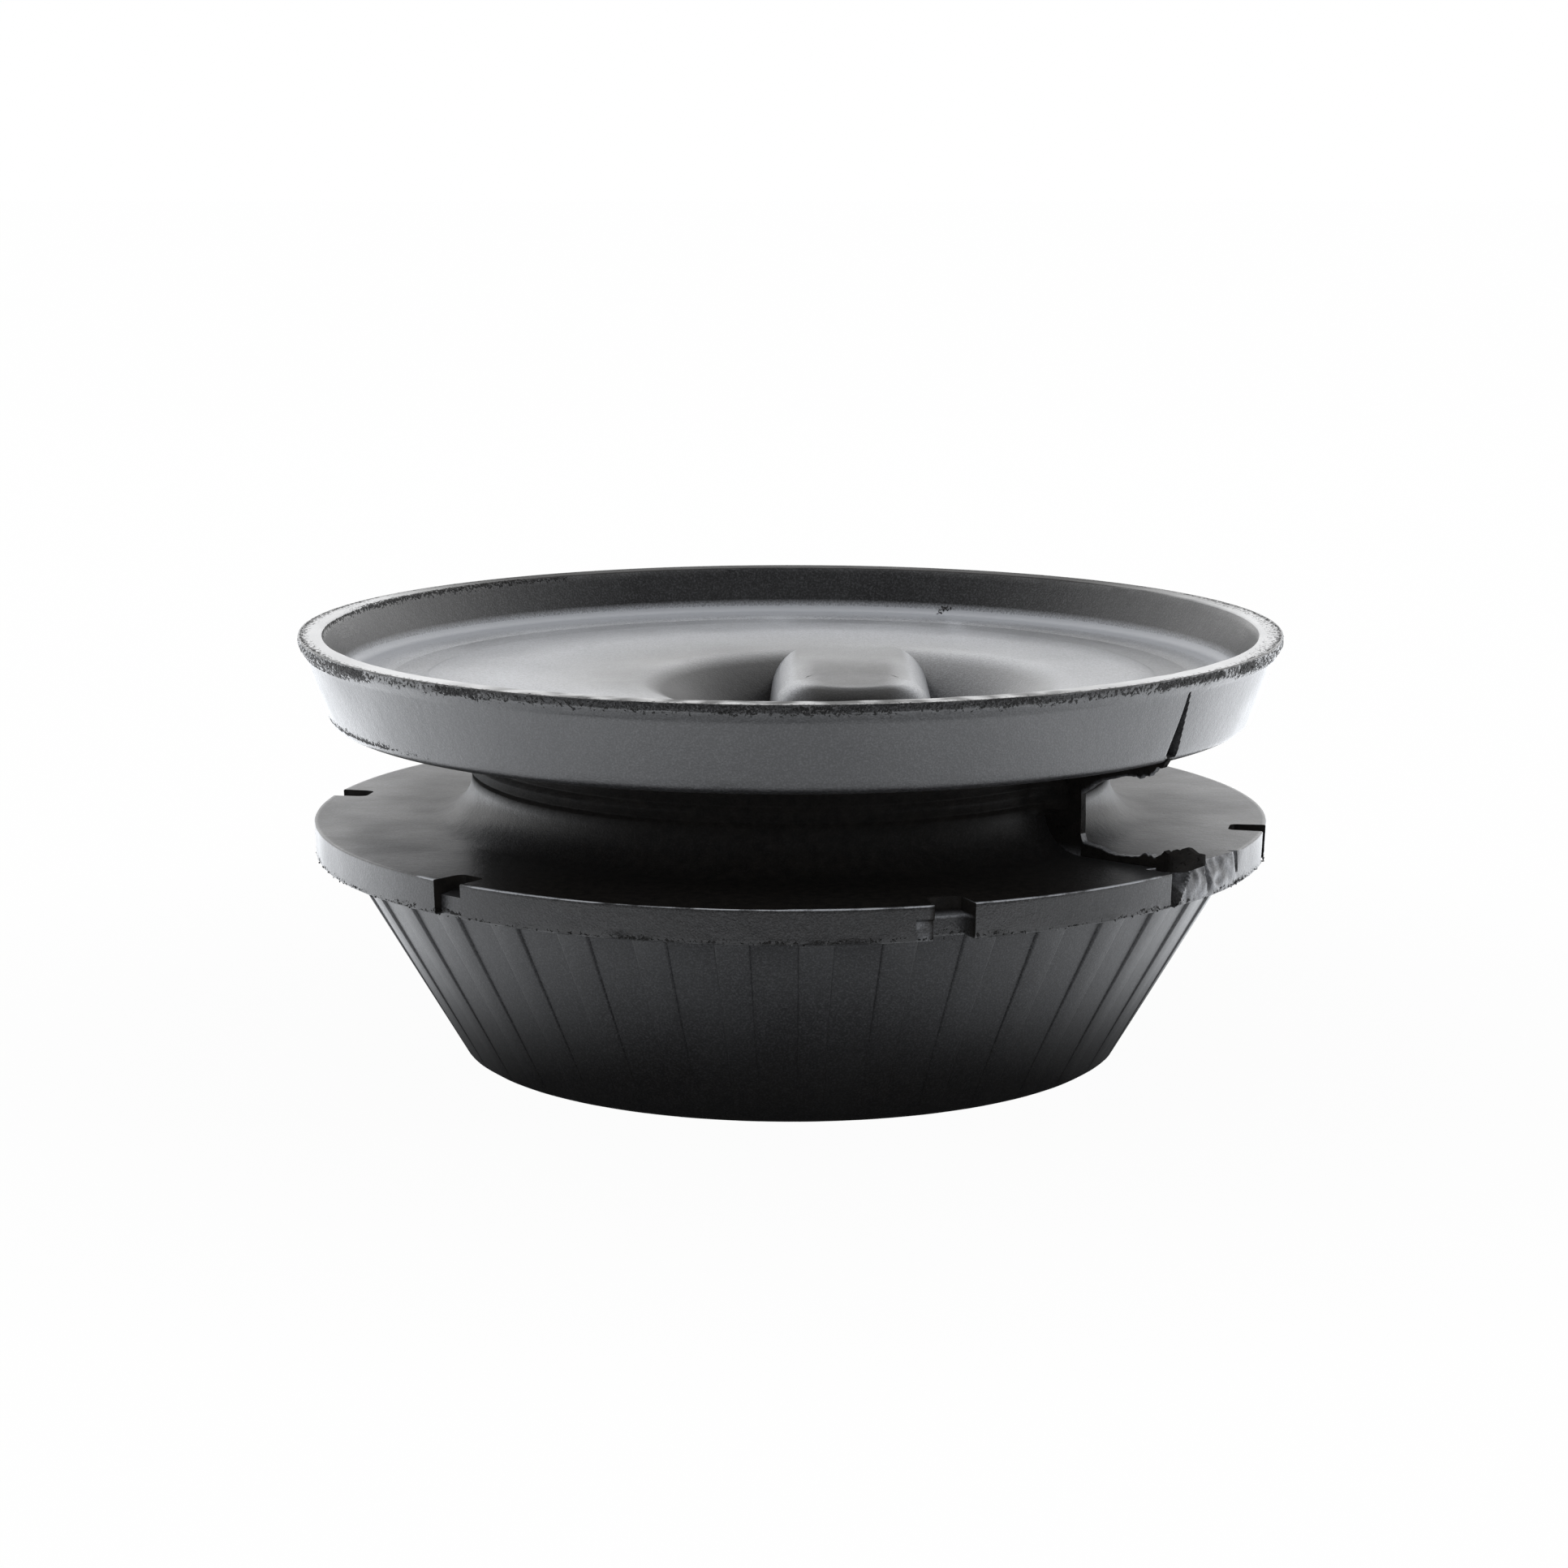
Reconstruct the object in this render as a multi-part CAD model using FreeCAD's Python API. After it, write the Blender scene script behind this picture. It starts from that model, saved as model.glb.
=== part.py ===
import FreeCAD, Part
import math
import os

# Shock absorber mount: one rubber moulding. Millimetres, +Z up, origin at the centre of the base.
# Azimuths are in degrees, 0 towards -Y (the front) and growing towards +X.

# Ribbed cone, from the base up to the flange
CONE_ANGLE = 30.6
FLANGE_UNDERSIDE = 24.9
RIB_COUNT = 36
RIB_HEIGHT = 0.6
RIB_WIDTH = 3.9
RIB_DRAFT = 0.25
RIB_PHASE = 3.0
BASE_CHAMFER = 0.5

# Flange and its ring of notches
FLANGE_RADIUS = 58.4
FLANGE_THICKNESS = 4.1
FLANGE_DRAFT = 0.2
FLANGE_OVERHANG = 3.6                        # how far the flange stands out over the cone
NOTCH_COUNT = 6
NOTCH_PHASE = 18.3
NOTCH_WIDTH = 4.2
NOTCH_DEPTH = 4.3
NOTCH_LEDGE = 1.3
NOTCH_LEDGE_DROP = 1.7
NOTCH_END_RADIUS = 1.0

# Neck groove, where the panel of the car body is held
NECK_RADIUS = 39.1
NECK_HEIGHT = 12.2
NECK_FOOT_RADIUS = 5.2
NECK_TOP_CHAMFER = 0.8
NECK_BEAD_HEIGHT = 0.35
NECK_BEADS = ((0.9, 1.3), (2.8, 1.5))        # middle above the foot's round, width

# Dish: the sloping band, the lip and the floor
DISH_BOTTOM_ROUND = 1.6
DISH_HEIGHT = 10.7
BAND_SLOPE = 20.3
LIP_RADIUS = 60.0
LIP_FACE = 1.0
LIP_BEVEL = 1.2
LIP_OVERHANG = 0.75                          # how far the lip stands out over the band
DISH_WALL = 2.9
DISH_FLOOR = 4.9                             # thickness of the dish's bottom
DISH_CORNER_CHAMFER = 0.8
FLOOR_BAND_INSETS = (15.8, 10.2)             # from the lip's radius
FLOOR_BAND_EDGE = 0.7
FLOOR_BAND_DEPTH = 0.35

# Hub and the channel round its front and sides, both off the dish's own axis
HUB_OFFSET = 7.5
HUB_FORWARD = 5.0
HUB_RADIUS = 9.2
HUB_EDGE_ROUND = 2.3
HUB_DRAFT = 10.0
CHANNEL_RADIUS = 22.5
CHANNEL_DEPTH = 11.5
CHANNEL_SLOPE = 35.0
CHANNEL_BOTTOM_ROUND = 2.0
CHANNEL_LIP_ROUND = 10.0

# Parting line of the mould, with the torn flash that it left
PARTING_AZIMUTH = 50.0
WEB_THICKNESS = 0.9
WEB_ROOT_ROUND = 3.2
SLIT_WIDTH = 2.3
SLIT_TOP_WIDTH = 0.5
SLIT_DEPTH = 1.5
GASH_WIDTH = 4.6
GASH_FOOT_WIDTH = 0.9
GASH_DEPTH = 3.6
GASH_SHIFT = 2.4                             # how far the gash starts before the parting line
TEAR_LENGTH = 8.0
TEAR_DEPTH = 1.8
TEAR_ANGLE = 48.0

# Torn edge of the web, from the flange's edge round to the dish's.
# Each point is a share of the way out to that edge and a share of the way from flange to dish.
WEB_LOW_EDGE = ((0.99, 0.14), (0.88, 0.16), (0.76, 0.08), (0.54, 0.07), (0.42, 0.11), (0.29, 0.16), (0.27, 0.3))
WEB_HIGH_EDGE = ((0.3, 0.52), (0.33, 0.64), (0.54, 0.8), (0.71, 0.85), (0.79, 0.83), (0.88, 0.91), (0.96, 0.98))

FLANGE_TOP = FLANGE_UNDERSIDE + FLANGE_THICKNESS
DISH_UNDERSIDE = FLANGE_TOP + NECK_HEIGHT
RIM_TOP = DISH_UNDERSIDE + DISH_HEIGHT
FLOOR_TOP = DISH_UNDERSIDE + DISH_FLOOR
BAND_TOP = RIM_TOP - LIP_FACE - LIP_BEVEL
CUT_MARGIN = 1.0
FLAT_TURN = 40.0                             # degrees that one flat of a rounded corner turns

AXIS = FreeCAD.Vector(0, 0, 1)
ORIGIN = FreeCAD.Vector(0, 0, 0)


def section(radius, height):
    """Point of a section in the XZ plane."""
    return FreeCAD.Vector(radius, 0, height)


def line(start, end):
    return Part.LineSegment(start, end).toShape()


def arc(start, middle, end):
    return Part.Arc(start, middle, end).toShape()


def outline(points):
    """Closed wire through corner points."""
    return Part.makePolygon(list(points) + [points[0]])


def revolved(points):
    """Solid of revolution about Z from the corner points of a closed section."""
    return Part.Face(outline(points)).revolve(ORIGIN, AXIS, 360)


def rounded_corner(before, corner, after, rounding):
    """Points of a corner rounded by flats, each of which turns the outline a little."""
    to_last = (before - corner).normalize()
    to_next = (after - corner).normalize()
    half = to_last.getAngle(to_next) / 2
    centre = corner + (to_last + to_next).normalize() * (rounding / math.sin(half))
    start = corner + to_last * (rounding / math.tan(half)) - centre
    end = corner + to_next * (rounding / math.tan(half)) - centre
    sweep = start.getAngle(end)
    count = math.ceil(math.degrees(sweep) / FLAT_TURN)
    points = []
    for i in range(count + 1):
        share = i / count
        first = start * (math.sin((1 - share) * sweep) / math.sin(sweep))
        last = end * (math.sin(share * sweep) / math.sin(sweep))
        points.append(centre + first + last)
    return points


def rounded_outline(corners):
    """Points of an open or closed outline whose corners are (radius, height, rounding)."""
    points = [section(r, z) for r, z, _ in corners]
    result = []
    for i, (_, _, rounding) in enumerate(corners):
        if rounding == 0:
            result.append(points[i])
            continue
        after = points[(i + 1) % len(points)]
        result += rounded_corner(points[i - 1], points[i], after, rounding)
    return result


def turned(shape, azimuth):
    """Shape drawn along +X, turned to an azimuth."""
    copy = shape.copy()
    copy.rotate(ORIGIN, AXIS, azimuth - 90)
    return copy


def cone_radius(height):
    """Radius over the ribs' crests."""
    drop = FLANGE_UNDERSIDE - height
    return FLANGE_RADIUS - FLANGE_OVERHANG - drop * math.tan(math.radians(CONE_ANGLE))


def band_radius(height):
    """Outer radius of the dish's sloping band."""
    drop = BAND_TOP - height
    return LIP_RADIUS - LIP_OVERHANG - drop * math.tan(math.radians(BAND_SLOPE))


def on_circle(radius, angle, height):
    return FreeCAD.Vector(radius * math.cos(angle), radius * math.sin(angle), height)


def ribbed_points(height, inset):
    """Points round the cone at a height: flat rib crests and the flat floors between them."""
    crest = cone_radius(height) - inset
    floor = crest - RIB_HEIGHT
    pitch = 2 * math.pi / RIB_COUNT
    half_crest = RIB_WIDTH / (2 * cone_radius(FLANGE_UNDERSIDE))
    half_foot = half_crest + RIB_DRAFT / cone_radius(FLANGE_UNDERSIDE)
    points = []
    for i in range(RIB_COUNT):
        middle = math.radians(RIB_PHASE - 90) + i * pitch
        points.append(on_circle(floor, middle - half_foot, height))
        points.append(on_circle(crest, middle - half_crest, height))
        points.append(on_circle(crest, middle + half_crest, height))
        points.append(on_circle(floor, middle + half_foot, height))
    return points


def ribbed_cone():
    """Cone with raised ribs that keep their share of the pitch all the way up."""
    top = FLANGE_UNDERSIDE + CUT_MARGIN
    rings = [ribbed_points(0, BASE_CHAMFER), ribbed_points(BASE_CHAMFER, 0), ribbed_points(top, 0)]
    faces = [Part.Face(outline(rings[0])), Part.Face(outline(rings[-1]))]
    for low, high in zip(rings, rings[1:]):
        for i in range(len(low)):
            faces.append(Part.Face(outline([low[i - 1], low[i], high[i]])))
            faces.append(Part.Face(outline([low[i - 1], high[i], high[i - 1]])))
    return Part.makeSolid(Part.makeShell(faces))


def neck_corners():
    """Corners of the neck's wall, from the flange up to the dish, with its moulded beads."""
    corners = [(NECK_RADIUS, FLANGE_TOP, NECK_FOOT_RADIUS)]
    crest = NECK_RADIUS + NECK_BEAD_HEIGHT
    for middle, width in NECK_BEADS:
        height = FLANGE_TOP + NECK_FOOT_RADIUS + middle
        corners.append((NECK_RADIUS, height - width / 2, 0))
        corners.append((crest, height, 0))
        corners.append((NECK_RADIUS, height + width / 2, 0))
    corners.append((NECK_RADIUS, DISH_UNDERSIDE - NECK_TOP_CHAMFER, 0))
    corners.append((NECK_RADIUS + NECK_TOP_CHAMFER, DISH_UNDERSIDE, 0))
    return corners


def flange_and_neck():
    """Flange disc and neck, up to the middle of the dish's bottom."""
    top = DISH_UNDERSIDE + DISH_FLOOR / 2
    corners = [
        (0, FLANGE_UNDERSIDE, 0),
        (FLANGE_RADIUS - FLANGE_DRAFT, FLANGE_UNDERSIDE, 0),
        (FLANGE_RADIUS, FLANGE_TOP, 0),
    ]
    corners += neck_corners()
    corners += [(NECK_RADIUS, top, 0), (0, top, 0)]
    return revolved(rounded_outline(corners))


def dish():
    """Dish with its sloping band, the lip round its top and a level floor."""
    inner_top = LIP_RADIUS - DISH_WALL
    slope = math.tan(math.radians(BAND_SLOPE))
    inner_bottom = inner_top - (RIM_TOP - FLOOR_TOP) * slope
    corners = [
        (0, DISH_UNDERSIDE, 0),
        (band_radius(DISH_UNDERSIDE), DISH_UNDERSIDE, DISH_BOTTOM_ROUND),
        (band_radius(BAND_TOP), BAND_TOP, 0),
        (LIP_RADIUS, RIM_TOP - LIP_FACE, 0),
        (LIP_RADIUS, RIM_TOP, 0),
        (inner_top, RIM_TOP, 0),
        (inner_bottom + DISH_CORNER_CHAMFER * slope, FLOOR_TOP + DISH_CORNER_CHAMFER, 0),
        (inner_bottom - DISH_CORNER_CHAMFER, FLOOR_TOP, 0),
        (0, FLOOR_TOP, 0),
    ]
    return revolved(rounded_outline(corners))


def floor_band():
    """Shallow ring let into the dish's floor, with sloping edges."""
    inner, outer = [LIP_RADIUS - inset for inset in FLOOR_BAND_INSETS]
    points = [
        section(inner, FLOOR_TOP),
        section(inner + FLOOR_BAND_EDGE, FLOOR_TOP - FLOOR_BAND_DEPTH),
        section(outer - FLOOR_BAND_EDGE, FLOOR_TOP - FLOOR_BAND_DEPTH),
        section(outer, FLOOR_TOP),
        section(outer, FLOOR_TOP + CUT_MARGIN),
        section(inner, FLOOR_TOP + CUT_MARGIN),
    ]
    return revolved(points)


def hub_bridge(flank):
    """Bar as wide as the hub, with the hub's own flanks, that ties it to the floor behind it."""
    top = FLOOR_TOP + 2 * CUT_MARGIN
    right = [section(flank[0].x, top)] + flank
    left = [section(-point.x, point.z) for point in reversed(right)]
    return Part.Face(outline(right + left)).extrude(FreeCAD.Vector(0, 2 * CHANNEL_RADIUS, 0))


def hub_channel():
    """Channel that leaves the hub standing in its middle, tied to the floor behind it."""
    bottom = FLOOR_TOP - CHANNEL_DEPTH
    hub_foot = HUB_RADIUS + CHANNEL_DEPTH * math.tan(math.radians(HUB_DRAFT))
    outer_foot = CHANNEL_RADIUS - CHANNEL_DEPTH * math.tan(math.radians(CHANNEL_SLOPE))
    corners = [
        (0, FLOOR_TOP, 0),
        (HUB_RADIUS, FLOOR_TOP, HUB_EDGE_ROUND),
        (hub_foot, bottom, CHANNEL_BOTTOM_ROUND),
        (outer_foot, bottom, 0),
    ]
    flank = rounded_outline(corners)[1:-1]
    corners[-1] = (outer_foot, bottom, CHANNEL_BOTTOM_ROUND)
    corners += [(CHANNEL_RADIUS, FLOOR_TOP, CHANNEL_LIP_ROUND), (FLANGE_RADIUS, FLOOR_TOP, 0)]
    wall = rounded_outline(corners)[1:-1]
    above = [point + AXIS * CUT_MARGIN for point in (wall[-1], wall[0])]
    channel = revolved(wall + above).cut(hub_bridge(flank))
    channel.translate(FreeCAD.Vector(HUB_OFFSET, -HUB_FORWARD, 0))
    return channel


def notch():
    """Slot in the flange's edge along +X: a through slot with a deeper step at its top."""
    half = NOTCH_WIDTH / 2
    inner = FLANGE_RADIUS - NOTCH_DEPTH
    ledge = inner + NOTCH_LEDGE
    outer = FLANGE_RADIUS + CUT_MARGIN
    through = Part.makeBox(outer - ledge, NOTCH_WIDTH, FLANGE_THICKNESS + CUT_MARGIN)
    through.translate(FreeCAD.Vector(ledge, -half, FLANGE_UNDERSIDE))
    step = Part.makeBox(outer - inner, NOTCH_WIDTH, NOTCH_LEDGE_DROP + CUT_MARGIN)
    step.translate(FreeCAD.Vector(inner, -half, FLANGE_TOP - NOTCH_LEDGE_DROP))
    corners = [e for e in step.Edges if e.BoundBox.XMax < inner + 1e-6 and e.BoundBox.ZLength > 1e-6]
    step = step.makeFillet(NOTCH_END_RADIUS, corners)
    return through.fuse(step)


def web_point(edge, out, up):
    """Point of the web at shares of the way from the neck to an edge and from flange to dish."""
    return section(NECK_RADIUS + out * (edge - NECK_RADIUS), FLANGE_TOP + up * NECK_HEIGHT)


def web_outline():
    """Torn outline of the flash web in the plane of the parting line."""
    inside = NECK_RADIUS - 3 * CUT_MARGIN
    low = [web_point(FLANGE_RADIUS, out, up) for out, up in WEB_LOW_EDGE]
    high = [web_point(band_radius(DISH_UNDERSIDE), out, up) for out, up in WEB_HIGH_EDGE]
    foot = section(low[0].x, FLANGE_TOP - CUT_MARGIN)
    head = section(high[-1].x, DISH_UNDERSIDE + CUT_MARGIN)
    points = [section(inside, foot.z), foot] + low + high
    points += [head, section(inside, head.z)]
    return outline(points)


def parting_web():
    """Flash web that stands in the neck groove, thicker where it meets the neck."""
    half = WEB_THICKNESS / 2
    root = NECK_RADIUS - 2 * CUT_MARGIN
    spread = half + WEB_ROOT_ROUND
    turn = WEB_ROOT_ROUND * (1 - math.sqrt(0.5))
    tip = FLANGE_RADIUS + CUT_MARGIN
    corner = NECK_RADIUS - CUT_MARGIN / 2
    plain = NECK_RADIUS + WEB_ROOT_ROUND
    edges = []
    for side in (1, -1):
        start = FreeCAD.Vector(corner, side * spread, 0)
        middle = FreeCAD.Vector(NECK_RADIUS + turn, side * (half + turn), 0)
        end = FreeCAD.Vector(plain, side * half, 0)
        edges.append(line(FreeCAD.Vector(root, side * spread, 0), start))
        edges.append(arc(start, middle, end))
        edges.append(line(end, FreeCAD.Vector(tip, side * half, 0)))
    edges.append(line(FreeCAD.Vector(tip, half, 0), FreeCAD.Vector(tip, -half, 0)))
    edges.append(line(FreeCAD.Vector(root, spread, 0), FreeCAD.Vector(root, -spread, 0)))
    plan = Part.Face(Part.Wire(Part.__sortEdges__(edges)))
    slab = plan.extrude(AXIS * (RIM_TOP - FLANGE_UNDERSIDE))
    slab.translate(AXIS * FLANGE_UNDERSIDE)
    torn = Part.Face(web_outline()).extrude(FreeCAD.Vector(0, 4 * spread, 0))
    torn.translate(FreeCAD.Vector(0, -2 * spread, 0))
    return turned(slab.common(torn), PARTING_AZIMUTH)


def wedge(low, high):
    """Solid between two triangles, each three points."""
    return Part.makeLoft([outline(low), outline(high)], True, True)


def parting_slit():
    """Slit where the band's two ends meet: upright right side, sloping left side."""
    def triangle(height, width):
        surface = band_radius(height)
        outside = surface + CUT_MARGIN
        reach = width * (1 + CUT_MARGIN / SLIT_DEPTH)
        deep = FreeCAD.Vector(surface - SLIT_DEPTH, 0, height)
        right = FreeCAD.Vector(outside, 0, height)
        left = FreeCAD.Vector(outside, -reach, height)
        return [deep, right, left]
    low = triangle(DISH_UNDERSIDE - CUT_MARGIN, SLIT_WIDTH)
    high = triangle(BAND_TOP, SLIT_TOP_WIDTH)
    return turned(wedge(low, high), PARTING_AZIMUTH)


def flange_gash():
    """Wedge torn out of the flange's edge, wide at the top and closing downwards."""
    inner = FLANGE_RADIUS - GASH_DEPTH
    outer = FLANGE_RADIUS + CUT_MARGIN
    def triangle(height, width):
        deep = FreeCAD.Vector(inner, -GASH_SHIFT + width / 3, height)
        right = FreeCAD.Vector(outer, -GASH_SHIFT + width, height)
        left = FreeCAD.Vector(outer, -GASH_SHIFT, height)
        return [deep, right, left]
    low = triangle(FLANGE_UNDERSIDE - CUT_MARGIN, GASH_FOOT_WIDTH)
    high = triangle(FLANGE_TOP + CUT_MARGIN * 2, GASH_WIDTH)
    return turned(wedge(low, high), PARTING_AZIMUTH)


def flange_tear():
    """Slanting cut that takes the top edge off the flange beside the gash."""
    start = GASH_WIDTH - GASH_SHIFT
    slab = Part.makeBox(2 * FLANGE_THICKNESS, TEAR_LENGTH, 2 * FLANGE_THICKNESS)
    slab.rotate(ORIGIN, FreeCAD.Vector(0, 1, 0), TEAR_ANGLE)
    slab.translate(FreeCAD.Vector(FLANGE_RADIUS - TEAR_DEPTH, 0, FLANGE_TOP))
    slab.translate(FreeCAD.Vector(0, start, 0))
    return turned(slab, PARTING_AZIMUTH)


def mount_body():
    body = ribbed_cone().fuse([flange_and_neck(), dish(), parting_web()])
    step = 360 / NOTCH_COUNT
    notches = [turned(notch(), NOTCH_PHASE + i * step) for i in range(NOTCH_COUNT)]
    recesses = [floor_band(), hub_channel(), parting_slit(), flange_gash(), flange_tear()]
    body = body.cut(notches + recesses)
    return body.removeSplitter()


os.makedirs("parts", exist_ok=True)
shape = mount_body()
shape.exportStep("parts/mount_body.step")
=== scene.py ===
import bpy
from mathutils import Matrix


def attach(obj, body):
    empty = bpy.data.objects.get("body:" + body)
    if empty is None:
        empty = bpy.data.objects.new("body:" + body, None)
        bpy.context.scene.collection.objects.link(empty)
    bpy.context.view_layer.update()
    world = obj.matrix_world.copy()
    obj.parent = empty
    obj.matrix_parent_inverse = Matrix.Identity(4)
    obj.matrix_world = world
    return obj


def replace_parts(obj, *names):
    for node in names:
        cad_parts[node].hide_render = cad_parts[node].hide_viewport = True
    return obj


bl_info = {
    "name": "Rubber strut mount",
    "version": (1, 0, 0),
    "blender": (4, 5, 0),
    "location": "View3D > Sidebar > Strut mount",
    "description": "Makes the moulded rubber strut mount, its torn flash and the stage round it",
    "category": "Object",
}

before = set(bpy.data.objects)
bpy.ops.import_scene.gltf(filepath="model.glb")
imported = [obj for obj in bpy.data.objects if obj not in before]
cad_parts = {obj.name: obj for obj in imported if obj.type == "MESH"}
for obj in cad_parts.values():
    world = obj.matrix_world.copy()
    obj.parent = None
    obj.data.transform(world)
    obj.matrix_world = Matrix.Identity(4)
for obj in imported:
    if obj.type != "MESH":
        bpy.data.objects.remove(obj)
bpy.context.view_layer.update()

import bisect
import math

import bmesh
import bpy
from mathutils import Vector, noise

# Lengths are in millimetres and azimuths in degrees, 0 at the front (-Y) and growing towards +X.
# Most of them are the solid's. The ribs' height and foot, the hub's edge, the notches' ledges,
# the notch that is worn wider, the gash and the tear are the scene's own.
MM = 0.001
UNDERSIDE = 24.9
SEAT = 29.0
FLANGE = 58.4
NECK = 39.1
DISH_FOOT = 41.2
FLOOR = 46.1
RIM = 51.9
LIP = 60.0
INNER_LIP = 57.1
CONE_SLOPE = math.tan(math.radians(30.6))
BAND_SLOPE = math.tan(math.radians(20.3))
CONE_TOP = 54.8
BAND_FOOT = 56.1
BAND_TOP = 49.7
RIB_HEIGHT = 0.4
RIB_RUN_OUT = 0.38
HUB_OFFSET = 7.5
HUB_FORWARD = 5.0
HUB_FLAT = 5.5
HUB_RADIUS = 9.2
HUB_EDGE = 4.0
BRIDGE_REACH = 27.9
CHANNEL_DEPTH = 11.5
NOTCHES = 6
NOTCH_PITCH = 360 / NOTCHES
NOTCH_FIRST = 18.3
NOTCH_HALF = 2.1
NOTCH_WORN = 2.7
NOTCH_CORNER = 1.0
NOTCH_FLOOR = 54.1
LEDGE_TOP = SEAT - 1.7
LEDGE = 55.6
LEDGE_SHALLOW = 57.3
# The low step beside the worn notch
STEP_LEFT = 4.8
STEP_TOP = 27.4
STEP_DEPTH = 0.55
# The gash, the tear and the flash web on the parting line, and the bowed mark on the left
PARTING = 50.0
GASH_LEFT = 48.0
GASH_DEPTH = 3.6
TEAR_END = 66
CURL = 321.0
CURL_HALF = 1.5
CURL_RADIUS = 57.9
WEB_INNER = 44.4
WEB_FOOT = 28.7
WEB_TOP = 41.6
WEB_FILLET = 3.2
# The camera's place and aim in metres
CAMERA = (-0.00078, -0.47816, 0.11993)
CAMERA_AIM = (-0.00078, 0, 0.03224)
CAMERA_LENS = 90.454


def linear(hex_colour):
    """Linear colour of an sRGB hex value."""
    values = [int(hex_colour[i:i + 2], 16) / 255 for i in (1, 3, 5)]
    return [v / 12.92 if v <= 0.04045 else ((v + 0.055) / 1.055) ** 2.4 for v in values] + [1.0]


class MouldingSizes(bpy.types.PropertyGroup):
    rib_count: bpy.props.IntProperty(
        name="Ribs", description="How many ribs stand round the cone", default=36, min=3)
    rib_width: bpy.props.FloatProperty(
        name="Rib width", description="Width of a rib's crest where it meets the flange",
        default=0.0039, unit="LENGTH")
    rib_first: bpy.props.FloatProperty(
        name="First rib", description="Turn of the first rib from the front",
        default=math.radians(3.0), subtype="ANGLE")
    ragged: bpy.props.FloatProperty(
        name="Ragged edge", description="How far the torn flash stands off the lip and the flange",
        default=0.0002, unit="LENGTH")
    web_thickness: bpy.props.FloatProperty(
        name="Web thickness", description="Thickness of the flash web in the neck groove",
        default=0.0009, unit="LENGTH")
    crumb_size: bpy.props.FloatProperty(
        name="Crumb size", description="Mean size of the torn crumbs along the edges",
        default=0.00022, unit="LENGTH")


class RubberFinish(bpy.types.PropertyGroup):
    rubber: bpy.props.FloatVectorProperty(
        name="Rubber", description="Colour of the moulded rubber", subtype="COLOR", size=4,
        default=linear("#1D1D1F"), min=0, max=1)
    bloom: bpy.props.FloatVectorProperty(
        name="Bloom", description="Colour of the grey bloom on the rubber",
        subtype="COLOR", size=4, default=linear("#2B2C2E"), min=0, max=1)
    torn: bpy.props.FloatVectorProperty(
        name="Torn rubber", description="Colour of rubber where flash was torn off",
        subtype="COLOR", size=4, default=linear("#0B0B0C"), min=0, max=1)
    # Partly the rim's own pale cut face and partly a painted highlight.
    trimmed_and_painted_highlight: bpy.props.FloatVectorProperty(
        name="Trimmed rim", description="Colour of the trimmed and rubbed rim",
        subtype="COLOR", size=4, default=linear("#B9BABC"), min=0, max=1)
    # The pale colour is partly dust and partly painted light: highlights and lit sides painted
    # pale.
    dust_and_painted_light: bpy.props.FloatVectorProperty(
        name="Dust", description="Colour of the powder in the dish and on the flange",
        subtype="COLOR", size=4, default=linear("#A3A6AC"), min=0, max=1)


class StageLook(bpy.types.PropertyGroup):
    sky: bpy.props.FloatProperty(
        name="Sky", description="Strength of the white light from all round", default=0.9, min=0)
    walls: bpy.props.FloatProperty(
        name="Walls", description="Brightness of the studio's white walls in reflections",
        default=1.6, min=0)
    table: bpy.props.FloatProperty(
        name="Table", description="Brightness of the lit table in reflections", default=2.5, min=0)
    back_lamp: bpy.props.FloatProperty(
        name="Back lamp", description="Power of the wide lamp behind the part", default=0.3,
        min=0, unit="POWER")
    floor: bpy.props.FloatVectorProperty(
        name="Floor", description="Colour of the floor", subtype="COLOR", size=4,
        default=linear("#F4F4F4"), min=0, max=1)


# Section work: a corner is (radius, height, rounding, flats, zone of the run that follows it)

def rounded(corners):
    """Points (radius, height, zone) of an open section whose corners are rounded."""
    points = []
    for i, (r, z, rounding, flats, zone) in enumerate(corners):
        if rounding == 0 or i == 0 or i == len(corners) - 1:
            points.append((r, z, zone))
            continue
        corner = Vector((r, z))
        back = (Vector(corners[i - 1][:2]) - corner).normalized()
        on = (Vector(corners[i + 1][:2]) - corner).normalized()
        half = back.angle(on) / 2
        centre = corner + (back + on).normalized() * (rounding / math.sin(half))
        start = corner + back * (rounding / math.tan(half)) - centre
        end = corner + on * (rounding / math.tan(half)) - centre
        sweep = start.angle(end)
        for k in range(flats + 1):
            share = k / flats
            spoke = start * math.sin((1 - share) * sweep) + end * math.sin(share * sweep)
            spoke = spoke / math.sin(sweep)
            before = corners[i - 1][4]
            points.append((centre.x + spoke.x, centre.y + spoke.y, zone if k == flats else before))
    return points


def spaced(points, gaps):
    """The same section with its long runs cut to at most the gap of their zone."""
    result = []
    for (r, z, zone), (r2, z2, _) in zip(points, points[1:]):
        count = max(1, math.ceil(math.hypot(r2 - r, z2 - z) / gaps.get(zone, 100)))
        for k in range(count):
            result.append((r + (r2 - r) * k / count, z + (z2 - z) * k / count, zone))
    result.append(points[-1])
    return result


def smooth(low, high, value):
    """0 below low, 1 above high, and a smooth rise between."""
    t = min(1.0, max(0.0, (value - low) / (high - low)))
    return t * t * (3 - 2 * t)


def rough(x, y, z, size, seed=0):
    """Smooth noise from -1 to 1 whose lumps are about size millimetres wide."""
    place = (x / size + 7.3 * seed, y / size - 3.1 * seed, z / size + 1.7 * seed)
    return noise.noise(Vector(place))


def ridge(away, width):
    """1 on a line, falling off to 0 within a few widths of it."""
    return math.exp(-(away / width) ** 2)


def from_notch(azimuth):
    """Distance in millimetres along the flange's edge from the nearest notch, and its number."""
    half = NOTCH_PITCH / 2
    turn = (azimuth - NOTCH_FIRST + half) % NOTCH_PITCH - half
    number = round((azimuth - NOTCH_FIRST - turn) / NOTCH_PITCH) % NOTCHES
    return math.radians(turn) * FLANGE, number


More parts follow.
